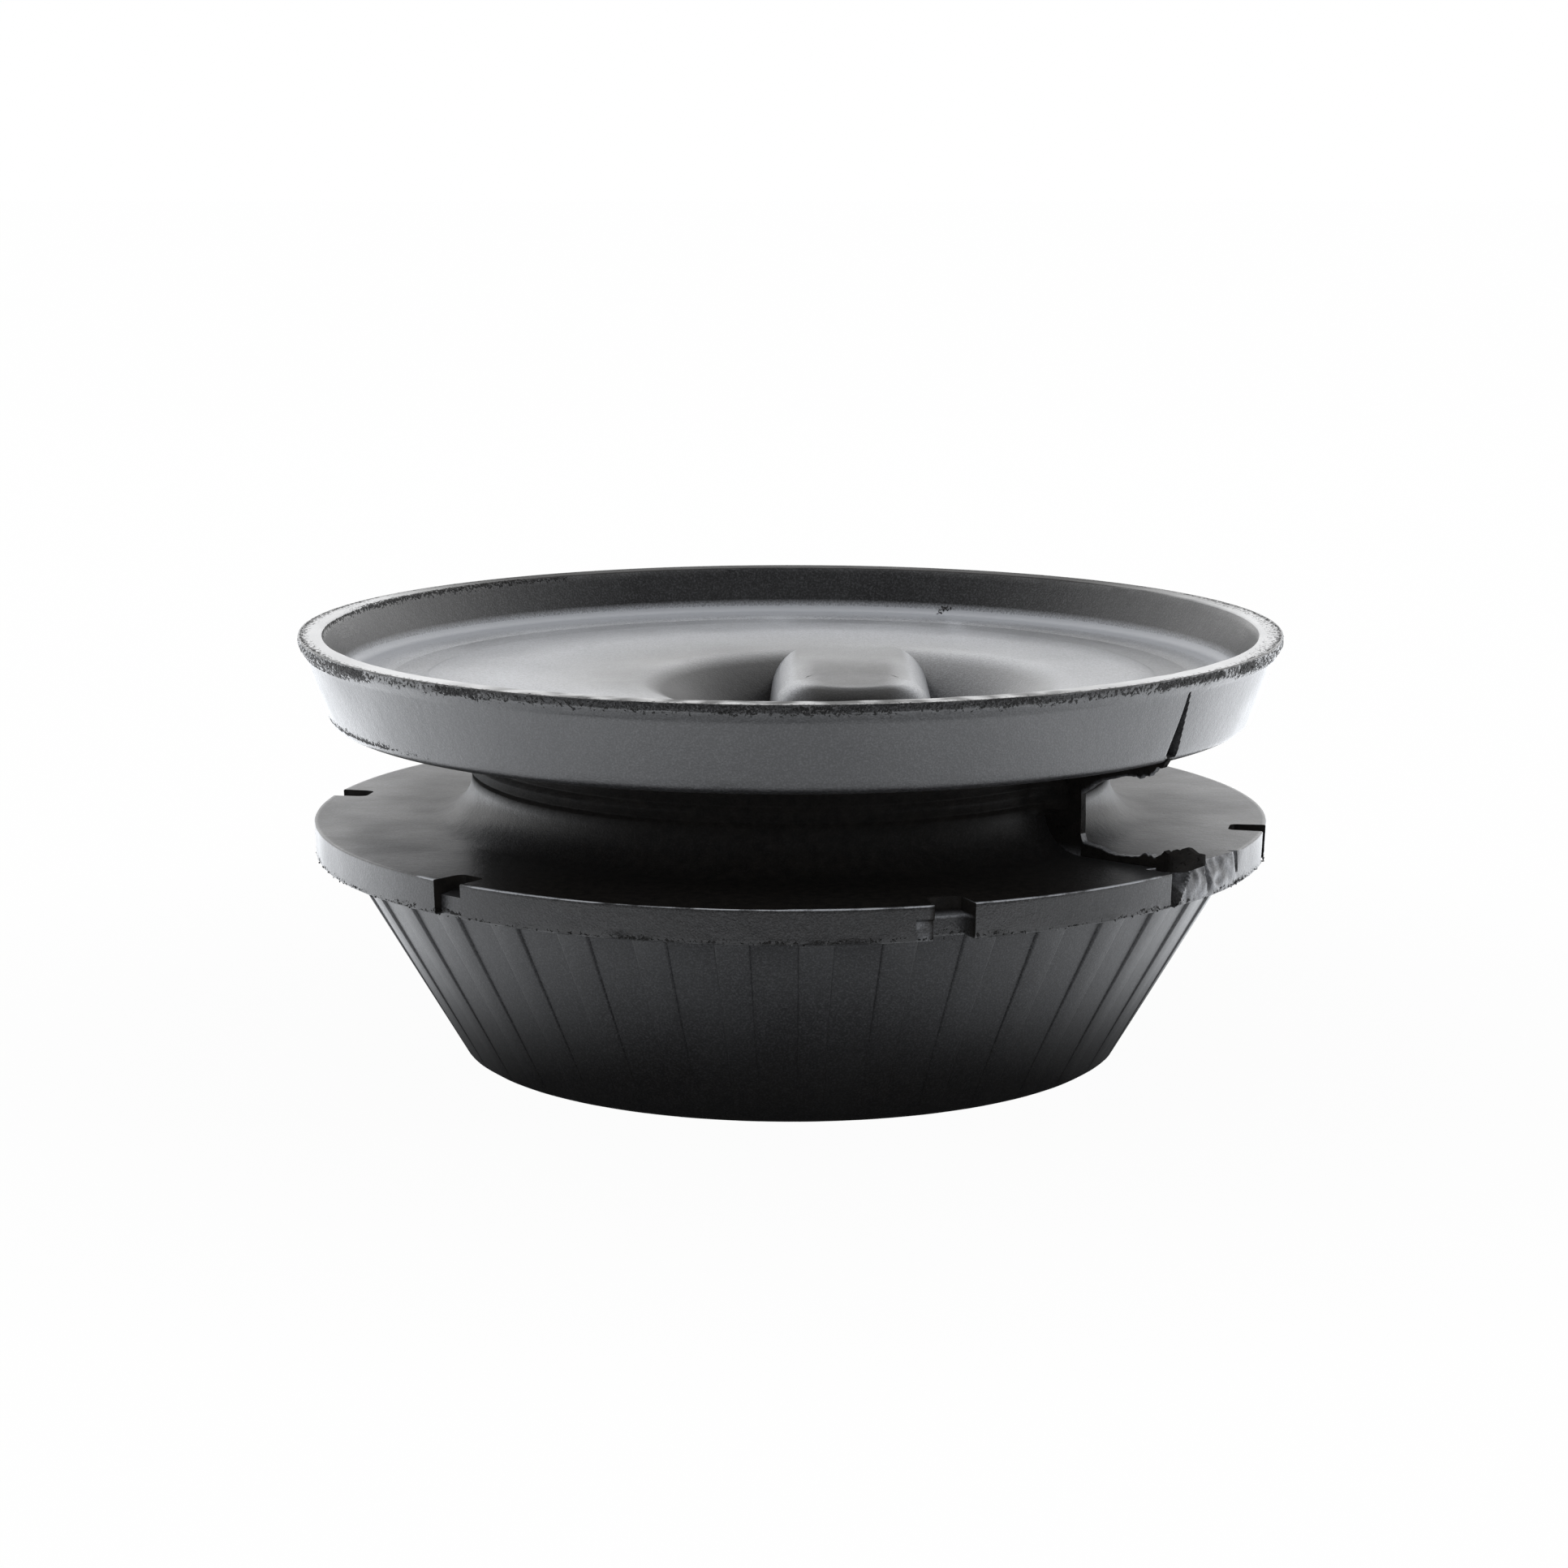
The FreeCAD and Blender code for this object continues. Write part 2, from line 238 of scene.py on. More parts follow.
def notch_left(number):
    """Half width of a notch on its left; the one right of the front is worn wider there."""
    return NOTCH_WORN if number == 0 else NOTCH_HALF


def tear_cracks(azimuth, height):
    """Depth of the two cracks in the flange's torn face: a leaning one and an upright one."""
    leaning = ridge(azimuth - 56.6 - 0.3 * (height - 27), 0.2) * smooth(25.6, 26.6, height)
    upright = ridge(azimuth - 63.6, 0.2) * smooth(26.3, 27.3, height)
    return 1.2 * leaning + 1.3 * upright


def flange_limit(azimuth, height):
    """Radius that the flange reaches at an azimuth and a height, inside notches, gash and tear."""
    along, number = from_notch(azimuth)
    left = notch_left(number)
    limit = 1000.0
    if -left < along < NOTCH_HALF:
        corner = max(0.0, along - NOTCH_HALF + NOTCH_CORNER, -along - left + NOTCH_CORNER)
        limit = NOTCH_FLOOR + NOTCH_CORNER - math.sqrt(max(0.0, NOTCH_CORNER ** 2 - corner ** 2))
        if height < LEDGE_TOP:
            limit = max(limit, LEDGE_SHALLOW if number == 5 else LEDGE)
    if number == 0 and -STEP_LEFT < along < -left and height < STEP_TOP:
        limit = min(limit, FLANGE - STEP_DEPTH)
    up = max(0.0, (height - UNDERSIDE) / (SEAT - UNDERSIDE))
    gash_right = GASH_LEFT + 1.0 + 4.6 * min(1.0, up)
    if GASH_LEFT < azimuth < gash_right:
        depth = GASH_DEPTH * (1 - ((azimuth - GASH_LEFT) / (gash_right - GASH_LEFT)) ** 1.6)
        limit = min(limit, FLANGE - depth - 0.3)
    elif gash_right <= azimuth < TEAR_END:
        depth = 0.2 + 1.3 * up ** 2 + 0.35 * rough(azimuth * 0.9, height, 0, 1.3, 3)
        depth = max(0.0, depth) * (1 - smooth(57, TEAR_END, azimuth))
        limit = min(limit, FLANGE - depth - tear_cracks(azimuth, height))
    return limit


def band_slit(azimuth, height):
    """Depth of the slit in the dish's band: an upright right side, a left side that curves in."""
    up = min(1.0, max(0.0, (height - DISH_FOOT) / 9.4))
    right = 51.4 - 1.9 * up
    width = 0.28 + 2.6 * (1 - up) ** 1.45
    if not right - width < azimuth < right:
        return 0.0
    return 1.9 * (1 - up ** 8) * ((azimuth - right + width) / width) ** 1.6


def neck_fillet(azimuth, web_half):
    """How far the neck swells out towards the flash web that stands on it."""
    away = abs(math.radians(azimuth - PARTING)) * NECK - web_half
    if away > WEB_FILLET:
        return 0.0
    inside = WEB_FILLET - max(0.0, away)
    return WEB_FILLET - math.sqrt(max(0.0, WEB_FILLET ** 2 - inside ** 2))


def fine_columns():
    """Azimuths of the body's columns: even ones, and close ones at the notches and the tear."""
    azimuths = [float(i) for i in range(360)]
    azimuths += [44 + i * 0.25 for i in range(92)]
    azimuths += [47 + i * 0.1 for i in range(50)]
    # Distances from a notch's middle: its walls, its rounded corners and, at one, the low step
    close = (-2.14, -2.12, -2.1, -1.95, -1.7, -1.4, -1.1, 0,
             0.9, 1.1, 1.4, 1.7, 1.95, 2.1, 2.12, 2.14)
    worn = (-4.82, -4.8, -2.72, -2.7, -2.5, -2.3)
    for k in range(NOTCHES):
        middle = NOTCH_FIRST + NOTCH_PITCH * k
        for offset in close + (worn if k == 0 else ()):
            azimuths.append(middle + math.degrees(offset / FLANGE))
    azimuths = sorted(a % 360 for a in azimuths)
    kept = [azimuths[0]]
    for a in azimuths[1:]:
        if a - kept[-1] > 0.012:
            kept.append(a)
    return kept


def body_rings():
    """Rings of the whole moulding from the middle of its base to the top of the hub."""
    cone_foot = CONE_TOP - RIB_HEIGHT - UNDERSIDE * CONE_SLOPE + RIB_RUN_OUT
    outer = [
        (0, 0, 0, 0, "base"),
        (cone_foot - 0.5, 0, 0, 0, "cone"),
        (cone_foot + 0.5 * CONE_SLOPE, 0.5, 0, 0, "cone"),
        (CONE_TOP - RIB_HEIGHT, UNDERSIDE, 0.4, 2, "under"),
        (FLANGE - 0.2, UNDERSIDE, 0.25, 2, "edge"),
        (FLANGE, SEAT, 0.16, 3, "verge"),
        (FLANGE - 2.4, SEAT, 0, 0, "seat"),
        (NECK, SEAT, 5.2, 8, "neck"),
        (NECK, 34.3, 0, 0, "neck"),
        (NECK + 0.22, 34.9, 0.4, 3, "neck"),
        (NECK, 35.6, 0, 0, "neck"),
        (NECK, 36.0, 0, 0, "neck"),
        (NECK + 0.22, 36.8, 0.4, 3, "neck"),
        (NECK, 37.6, 0, 0, "neck"),
        (NECK, DISH_FOOT, 0.9, 3, "dish"),
        (BAND_FOOT, DISH_FOOT, 1.6, 5, "band"),
        (BAND_FOOT + (BAND_TOP - DISH_FOOT) * BAND_SLOPE, BAND_TOP, 2.4, 4, "lip"),
        (LIP, 50.9, 0.5, 2, "lip"),
        (LIP, RIM, 0.3, 3, "rim"),
        (INNER_LIP, RIM, 0.35, 3, "wall"),
        (INNER_LIP - (RIM - FLOOR) * BAND_SLOPE, FLOOR, 1.3, 5, "foot"),
        (51.5, FLOOR, 0, 0, "floor"),
        (49.8, FLOOR, 0, 0, "floor"),
        (49.1, FLOOR - 0.2, 0.6, 2, "floor"),
        (44.9, FLOOR - 0.2, 0.6, 2, "floor"),
        (44.2, FLOOR, 0, 0, "floor"),
    ]
    gaps = {"cone": 5, "under": 2, "edge": 0.34, "verge": 0.4, "seat": 2.4, "neck": 2.2, "dish": 3,
            "band": 0.9, "lip": 0.3, "rim": 0.5, "wall": 1.0, "foot": 0.6, "floor": 2.0, "base": 20}
    rings = [(0.0, r, z, zone) for r, z, zone in spaced(rounded(outer), gaps)]
    channel = [(32.0, FLOOR, 0, 0, "floor"), (22.5, FLOOR, 10.0, 8, "bowl")] + channel_bottom()
    channel += [(HUB_RADIUS, FLOOR, HUB_EDGE, 7, "hub"), (0, FLOOR, 0, 0, "hub")]
    gaps = {"floor": 2.5, "bowl": 2.5, "flank": 2.5, "hub": 2.5}
    rings.append((0.5, 38.2, FLOOR, "floor"))
    rings += [(1.0, r, z, zone) for r, z, zone in spaced(rounded(channel), gaps)]
    return rings


def channel_bottom():
    """Corners at the bottom of the channel round the hub."""
    foot = FLOOR - CHANNEL_DEPTH
    return [(14.4, foot, 2.0, 4, "bowl"), (11.2, foot, 2.0, 4, "flank")]


def dish_dust_and_painted_light(x, y, z, zone):
    """Share of the pale colour in the dish: a painted highlight along the wall's foot and on the
    bead, pale on the floor towards the wall and fainter on the right, fading into the channel as
    painted shade but for a painted light on its right, less in the floor's groove as painted shade,
    and painted highlights on the hub's sides and front edge.
    """
    if zone == "wall":
        # A painted highlight: a bright line along the wall's foot, stronger behind.
        return 2.6 * (1 - smooth(46.4, 47.3, z)) * (0.3 + 0.7 * smooth(-30, 10, y))
    r = math.hypot(x, y)
    patches = 0.12 * rough(x, y, 0, 9, 15)
    marks = ridge(x - 22, 1.1) * smooth(28, 36, y) + 0.6 * ridge(x + 1.5, 1.6) * smooth(33, 40, y)
    floor = 0.1 + patches + (1.05 - 0.35 * smooth(10, 40, x)) * smooth(16, 40, r) + 0.4 * marks
    if zone in ("hub", "flank"):
        # Painted highlights: the hub's top is paler at its sides and along its front edge; its
        # flanks are pale but for their front, which is left dark as painted shade.
        behind = smooth(6, 16, y)
        aside = smooth(4.0, 7.5, abs(x - HUB_OFFSET))
        inward = math.hypot(x - HUB_OFFSET, y + HUB_FORWARD) - 6.3
        edge = 0.5 * ridge(inward, 0.6) * (y < -HUB_FORWARD)
        top = (0.06 + patches + 0.4 * aside + edge) * (1 - behind) + floor * behind
        return top if z > 46.0 else max(aside, smooth(-9, -5, y)) * 0.9 * smooth(40, 45, z)
    if zone in ("bowl", "floor") and z < FLOOR - 0.05 and r < 40:
        # Down in the channel the pale colour fades as painted shade, and a little stays on its
        # right as painted light.
        low = smooth(0.2, 1.1, FLOOR - z)
        return (floor + 0.1) * (1 - low) + 0.2 * low * smooth(8, 14, x)
    if zone in ("floor", "foot"):
        # A painted highlight on the bead, and painted shade in the floor's groove, where it is less
        # pale.
        bead = 1.5 * ridge(r - 53.7, 0.9)
        groove = smooth(43.7, 44.6, r) * (1 - smooth(49.2, 50.4, r))
        return floor + 0.8 * bead - 0.4 * groove
    return 0.0


def flange_dust_and_painted_light(x, y, z, zone):
    """Share of the pale colour on the flange: painted light on its top towards its sides, a painted
    highlight along its top front edge and just under the worn notch's ledge, and a paler crescent
    in the bowed mark, torn face and low step.
    """
    r = math.hypot(x, y)
    azimuth = math.degrees(math.atan2(x, -y))
    if zone in ("seat", "verge") and r < FLANGE - 0.35:
        bow = azimuth + 360 - CURL
        curl = smooth(0.0, 0.2, r - CURL_RADIUS + 0.27 * bow ** 2) * (abs(bow) < CURL_HALF)
        # The pale crescent inside the bowed mark, and painted light on the flange's top, growing
        # towards its sides.
        return 0.5 * curl + smooth(34, 52, abs(x)) * (0.3 + 0.25 * rough(x, y, 0, 1.6, 22))
    if zone == "edge" and 50.5 < azimuth < 64:
        return 0.45 + 0.6 * rough(x, y, z, 1.1, 25)
    along, number = from_notch(azimuth)
    # In the worn notch a pale line just under the ledge's top is a painted highlight; the other
    # notch walls are a little pale.
    if zone == "edge" and -notch_left(number) < along < NOTCH_HALF and r < 57.5:
        return 1.3 if number == 0 and -0.35 < z - LEDGE_TOP < 0 else 0.1
    if zone == "edge" and number == 0 and -STEP_LEFT < along < -NOTCH_WORN and z < STEP_TOP:
        return 0.35 + 0.9 * rough(x, y, z, 0.9, 23)
    # A painted highlight: a broken pale line along the flange's top front edge.
    if zone in ("verge", "edge") and z > SEAT - 0.12 and abs(x) < 42 and y < 0:
        return 1.1 + 2.4 * rough(x, y, 0, 1.8, 18)
    return 0.0


def dust_and_painted_light_on(x, y, z, zone):
    """Share of the pale colour on the surface, partly powdery and partly painted light and
    highlights, 0 everywhere but in the dish and on the flange.
    """
    if zone in ("wall", "foot", "floor", "bowl", "flank", "hub"):
        return dish_dust_and_painted_light(x, y, z, zone)
    if zone in ("seat", "verge", "edge"):
        return flange_dust_and_painted_light(x, y, z, zone)
    return 0.0


def matt_and_painted_shade_on(x, y, z, zone):
    """Share of the surface's sheen that is taken away for a darker, dull black, painted shade: on
    the flange, its edge and its notches, on the neck and the cone's foot, in the dish's channel and
    on its hub, and on parts of the rim."""
    if zone == "edge":
        along, number = from_notch(math.degrees(math.atan2(x, -y)))
        inside = min(NOTCH_HALF - along, along + notch_left(number))
        # Painted shade: the notches' walls and ledge tops lose their sheen, and below its top edge
        # the flange's side is darker in front than towards its ends.
        if -0.03 < inside < 0.06 or (inside > 0 and z > LEDGE_TOP - 0.05):
            return 0.95
        return 0.5 - 0.3 * smooth(30, 50, abs(x)) if z < SEAT - 0.12 else 0.0
    if zone in ("seat", "verge") and math.hypot(x, y) < FLANGE - 0.3:
        # Painted shade: the flange's top is darker at the front, under the dish, and lighter
        # towards its far sides.
        front = smooth(15, 50, -y) * (1 - smooth(25, 45, abs(x)))
        return 0.47 + 0.48 * front - 0.1 * smooth(44, 56, abs(x))
    if zone == "cone":
        # Painted shade towards the cone's foot.
        return 0.6 * (1 - smooth(3, 17, z))
    if zone == "neck":
        # Painted shade over the whole neck.
        return 0.9
    if zone in ("bowl", "floor") and z < FLOOR - 0.05 and math.hypot(x, y) < 40:
        # Painted shade down in the channel, stronger on the left and none on the right.
        left = 0.55 + 0.45 * smooth(-24, -9, x)
        return 0.5 * smooth(0.2, 1.1, FLOOR - z) * (1 - smooth(8, 14, x)) * left
    if zone == "hub":
        # Painted shade across the middle of the hub's top, behind its front edge.
        middle = 1 - smooth(3.5, 7.0, abs(x - HUB_OFFSET))
        return 0.35 * smooth(-12.0, -10.5, y) * (1 - smooth(2, 14, y)) * middle
    if zone == "flank":
        # Painted shade on the front of the hub's flanks.
        return 0.7 * (1 - smooth(-11, -8, y))
    if zone == "rim":
        # Painted shade on the back of the rim, and flecked on its front.
        flecked = smooth(-0.3, 0.3, rough(x, y, 0, 2.5, 24))
        return 0.75 * smooth(25, 45, y) + 0.6 * smooth(42, 56, -y) * flecked
    return 0.0


def trimmed_and_painted_highlight_on(x, y, zone):
    """Share of the rim's cut face that is pale, partly cut rubber and partly a painted highlight:
    none behind, flecked in front.
    """
    if zone != "rim":
        return 0.0
    # This pale share is partly cut rubber and partly a painted highlight: pale in front, fading out
    # behind, and less and flecked at the very front.
    worn = 1 - smooth(8, 42 - 0.2 * x, y)
    return worn * (1 - 0.75 * smooth(40, 56, -y) * (1 + 0.8 * rough(x, y, 0, 2.5, 24)))


def body_point(shift, r, z, zone, azimuth, web_half, ragged):
    """Point of the moulding's surface, with its notches, tears and unevenness, in millimetres."""
    a = math.radians(azimuth)
    x, y = math.sin(a) * r, -math.cos(a) * r
    torn = 0.0
    if zone in ("edge", "verge", "seat", "under") and r > 50:
        if zone == "edge":
            burr = 1 - smooth(25.0, 25.9, z + 0.5 * rough(x, y, 0, 2.2, 1))
            torn = burr * (0.5 + 0.5 * rough(x, y, 0, 9, 17))
            r += burr * ragged * (rough(x, y, z * 2, 0.9, 2) + 0.5 * rough(x, y, z, 2.5, 4))
            r += 0.04 * rough(x, y, z, 5, 5)
            if 47.2 < azimuth < 65:
                torn = max(torn, 0.08)
        r = min(r, flange_limit(azimuth, z))
    if zone == "verge":
        bow = (azimuth - CURL) / CURL_HALF
        torn = 1.2 * ridge(r - CURL_RADIUS + 0.6 * bow * bow, 0.2) * (abs(bow) < 1)
    if zone in ("seat", "verge"):
        z -= 0.3 * ridge(azimuth - 348, 9) * smooth(50, 58, r)
        z += 0.007 * rough(x, y, 0, 6, 6)
    if zone == "neck":
        r += neck_fillet(azimuth, web_half)
        r += 0.05 * rough(x, y, z, 4, 7)
    if zone == "band":
        r -= band_slit(azimuth, z)
        r += 0.05 * rough(x, y, z, 7, 8)
        torn = (1 - smooth(42.0, 43.2, z + 0.5 * rough(x, y, 0, 2.0, 9))) * smooth(38, 50, -x)
    if zone == "lip":
        end = 1.7 * smooth(46, 56, -x) + 1.1 * smooth(48, 57, x)
        depth = smooth(50.1, 51.2, z + 0.5 * rough(x, y, 0, 2.4, 10) + end)
        patch = smooth(0.05, 0.4, rough(x, y, 0, 6, 16))
        patch *= smooth(50.3, 51.2, z + 0.4 * rough(x, y, 0, 1.5, 19))
        ends = 0.2 * smooth(44, 54, -x) + 0.12 * smooth(46, 56, x)
        torn = ((0.46 + ends) * depth + 0.45 * patch) * (1 - smooth(51.6, 51.85, z))
        r -= torn * (0.1 + ragged * rough(x, y, z * 1.5, 0.5, 11))
    if zone == "wall" and z > RIM - 0.9 and x < -30:
        torn = 0.75 * smooth(RIM - 0.8, RIM - 0.3, z + 0.3 * rough(x, y, 0, 1.5, 20))
    if zone == "rim":
        torn = 0.44 * smooth(58.9, 59.7, r) + 0.28 * smooth(48, 56, x) * smooth(57.2, 58.5, r)
        torn += 0.32 * smooth(50, 57, -x) * smooth(57.8, 59.2, r)
        torn += 0.7 * (1 - smooth(57.3, 58.1, r)) * smooth(30, 40, -x) * smooth(10, 20, y)
        z += 0.05 * rough(x, y, 0, 3, 12) - 0.05
        r += (0.14 * rough(x, y, 0, 1.1, 13) - 0.06) * smooth(58.6, 60, r)
    if zone in ("foot", "wall") and y > 40:
        torn = max(torn, 0.9 * ridge(x - 21, 1.0) * ridge(z - 46.9 - 0.3 * (x - 21), 0.35))
    if zone in ("floor", "wall"):
        z += 0.03 * rough(x, y, 0, 8, 14)
    x, y = math.sin(a) * r + shift * HUB_OFFSET, -math.cos(a) * r - shift * HUB_FORWARD
    return x, y, z, torn


def quads(rows, wide, closed):
    """Faces between rows of points that follow each other in one list."""
    faces = []
    for i in range(rows - 1):
        for k in range(wide if closed else wide - 1):
            here, on = i * wide + k, i * wide + (k + 1) % wide
            faces.append((here, on, on + wide, here + wide))
    return faces


def finished(name, vertices, faces, material, sharp=35, layers=None):
    """Mesh object at the origin from points in millimetres, merged, facing out and shaded."""
    mesh = bpy.data.meshes.new(name)
    mesh.from_pydata([Vector(v[:3]) * MM for v in vertices], [], faces)
    for layer, values in (layers or {}).items():
        attribute = mesh.attributes.new(layer, "FLOAT", "POINT")
        attribute.data.foreach_set("value", values)
    work = bmesh.new()
    work.from_mesh(mesh)
    bmesh.ops.remove_doubles(work, verts=work.verts, dist=1e-6)
    bmesh.ops.dissolve_degenerate(work, edges=work.edges, dist=1e-7)
    bmesh.ops.recalc_face_normals(work, faces=work.faces)
    for face in work.faces:
        face.smooth = True
    work.to_mesh(mesh)
    work.free()
    mesh.set_sharp_from_angle(angle=math.radians(sharp))
    mesh.materials.append(material)
    piece = bpy.data.objects.new(name, mesh)
    bpy.context.scene.collection.objects.link(piece)
    return piece


def carried(piece):
    """The piece rides on the one body."""
    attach(piece, "root")
    return piece


def add_node(tree, kind, links=(), **settings):
    """Node of a tree. A setting in_X is the value of its input X, by number or by label."""
    node = tree.nodes.new(kind)
    for key, value in settings.items():
        if key.startswith("in_"):
            label = key[3:]
            which = int(label) if label.isdigit() else label.replace("_", " ")
            node.inputs[which].default_value = value
        else:
            setattr(node, key, value)
    for source, target in links:
        tree.links.new(source, node.inputs[target])
    return node


def lumps(tree, place, scale, detail):
    """Noise texture with about so many lumps to a metre."""
    return add_node(tree, "ShaderNodeTexNoise", [(place, "Vector")],
                    in_Scale=scale, in_Detail=detail)


def moulded_rubber(finish):
    """EPDM rubber, compression moulded in a blasted steel mould.

    To the eye: near black with a soft satin sheen, a fine dull grain, faint clouds of grey bloom, a
    pale colour in the grain that is partly powdery and partly painted light and highlights, a pale
    rim that is partly a painted highlight, a darker dull black painted as shade where shade falls,
    and dark crumbly patches where flash was torn away.
    """
    material = bpy.data.materials.new("moulded_rubber")
    material.use_nodes = True
    tree = material.node_tree
    tree.nodes.clear()
    place = add_node(tree, "ShaderNodeTexCoord").outputs["Object"]
    # The mould's blasted grain is about 0.1 mm; it is drawn at 0.2 mm so that it shows.
    grain = lumps(tree, place, 4500.0, 2.0)
    clouds = lumps(tree, place, 90.0, 4.0)
    cloud_share = add_node(tree, "ShaderNodeMapRange", [(clouds.outputs["Fac"], "Value")],
                           in_1=0.4, in_2=0.72, in_3=0.0, in_4=0.55)
    coat = add_node(tree, "ShaderNodeMix", [(cloud_share.outputs[0], 0)], data_type="RGBA",
                    in_6=finish.rubber, in_7=finish.bloom)
    specks = add_node(tree, "ShaderNodeMapRange", [(grain.outputs["Fac"], "Value")],
                      in_1=0.45, in_2=0.7, in_3=0.0, in_4=0.7)
    dusty = add_node(tree, "ShaderNodeMix", [(specks.outputs[0], 0), (coat.outputs[2], 6)],
                     data_type="RGBA", in_7=linear("#4A4B4E"))
    # Pale colour in the grain, partly dust and partly painted light and highlights.
    powder_and_painted_light = add_node(tree, "ShaderNodeAttribute", attribute_name="dust_and_painted_light")
    patchy = add_node(tree, "ShaderNodeMath",
                      [(powder_and_painted_light.outputs["Fac"], 0), (grain.outputs["Fac"], 1)],
                      operation="MULTIPLY")
    dust_and_painted_light_share = add_node(tree, "ShaderNodeMath", [(patchy.outputs[0], 0)],
                          operation="MULTIPLY", in_1=1.6)
    powdered_and_painted_light = add_node(tree, "ShaderNodeMix", [(dust_and_painted_light_share.outputs[0], 0), (dusty.outputs[2], 6)],
                        data_type="RGBA", in_7=finish.dust_and_painted_light)
    torn = add_node(tree, "ShaderNodeAttribute", attribute_name="torn")
    # Crumbs of torn rubber are 0.2 to 1 mm across; the edge of a torn patch is speckled with them.
    crumbs = lumps(tree, place, 2600.0, 3.0)
    speckle = add_node(tree, "ShaderNodeMath", [(crumbs.outputs["Fac"], 0)],
                       operation="MULTIPLY_ADD", in_1=2.4, in_2=-1.2)
    near = add_node(tree, "ShaderNodeMath", [(torn.outputs["Fac"], 0)], operation="MULTIPLY",
                    in_1=8.0, use_clamp=True)
    ragged = add_node(tree, "ShaderNodeMath",
                      [(speckle.outputs[0], 0), (near.outputs[0], 1), (torn.outputs["Fac"], 2)],
                      operation="MULTIPLY_ADD")
    torn_share = add_node(tree, "ShaderNodeMapRange", [(ragged.outputs[0], "Value")],
                          in_1=0.46, in_2=0.62, in_3=0.0, in_4=1.0)
    flecks = add_node(tree, "ShaderNodeMapRange", [(grain.outputs["Fac"], "Value")],
                      in_1=0.52, in_2=0.66, in_3=0.0, in_4=0.8)
    crumbly = add_node(tree, "ShaderNodeMix", [(flecks.outputs[0], 0)], data_type="RGBA",
                       in_6=finish.torn, in_7=linear("#59595B"))
    # The rim's pale colour, partly cut rubber and partly a painted highlight.
    worn = add_node(tree, "ShaderNodeAttribute", attribute_name="trimmed_and_painted_highlight")
    trimmed_and_painted_highlight = add_node(tree, "ShaderNodeMix", [(worn.outputs["Fac"], 0), (powdered_and_painted_light.outputs[2], 6)],
                       data_type="RGBA", in_7=finish.trimmed_and_painted_highlight)
    coloured = add_node(tree, "ShaderNodeMix",
                        [(torn_share.outputs[0], 0), (trimmed_and_painted_highlight.outputs[2], 6),
                         (crumbly.outputs[2], 7)], data_type="RGBA")
    sheen = add_node(tree, "ShaderNodeMapRange", [(clouds.outputs["Fac"], "Value")],
                     in_1=0.3, in_2=0.7, in_3=0.30, in_4=0.40)
    rougher = add_node(tree, "ShaderNodeMix", [(torn_share.outputs[0], 0), (sheen.outputs[0], 2)],
                       in_3=0.85)
    mottle = lumps(tree, place, 900.0, 4.0)
    mottle_bump = add_node(tree, "ShaderNodeBump", [(mottle.outputs["Fac"], "Height")],
                           in_Strength=0.5, in_Distance=0.00008)
    grain_bump = add_node(tree, "ShaderNodeBump",
                          [(grain.outputs["Fac"], "Height"), (mottle_bump.outputs[0], "Normal")],
                          in_Strength=0.5, in_Distance=0.00006)
    depth = add_node(tree, "ShaderNodeMath",
                     [(crumbs.outputs["Fac"], 0), (torn_share.outputs[0], 1)],
                     operation="MULTIPLY")
    torn_bump = add_node(tree, "ShaderNodeBump",
                         [(depth.outputs[0], "Height"), (grain_bump.outputs[0], "Normal")],
                         in_Strength=0.8, in_Distance=0.0005)
    shader = add_node(tree, "ShaderNodeBsdfPrincipled",
                      [(coloured.outputs[2], "Base Color"), (rougher.outputs[0], "Roughness"),
                       (torn_bump.outputs[0], "Normal")], in_IOR=1.65,
                      in_Sheen_Weight=0.05, in_Sheen_Roughness=0.3)
    # Where the sheen is taken away, as on the flange and the neck, the rubber is a warmer, darker
    # matt black with a mottle: painted shade.
    matt_and_painted_shade = add_node(tree, "ShaderNodeAttribute", attribute_name="matt_and_painted_shade")
    dull_mottle = add_node(tree, "ShaderNodeMapRange", [(mottle.outputs["Fac"], "Value")],
                       in_1=0.35, in_2=0.7, in_3=0.0, in_4=1.0)
    dull_painted_shade_black = add_node(tree, "ShaderNodeMix", [(dull_mottle.outputs[0], 0)], data_type="RGBA",
                      in_6=linear("#151413"), in_7=linear("#1F1D1B"))
    flat = add_node(tree, "ShaderNodeBsdfDiffuse",
                    [(dull_painted_shade_black.outputs[2], "Color"), (torn_bump.outputs[0], "Normal")])
    surface = add_node(tree, "ShaderNodeMixShader",
                       [(matt_and_painted_shade.outputs["Fac"], 0), (shader.outputs[0], 1), (flat.outputs[0], 2)])
    add_node(tree, "ShaderNodeOutputMaterial", [(surface.outputs[0], "Surface")])
    return material


def the_rubber():
    """The rubber, made once for all the pieces."""
    made = bpy.data.materials.get("moulded_rubber")
    return made or moulded_rubber(bpy.context.scene.mount_finish)


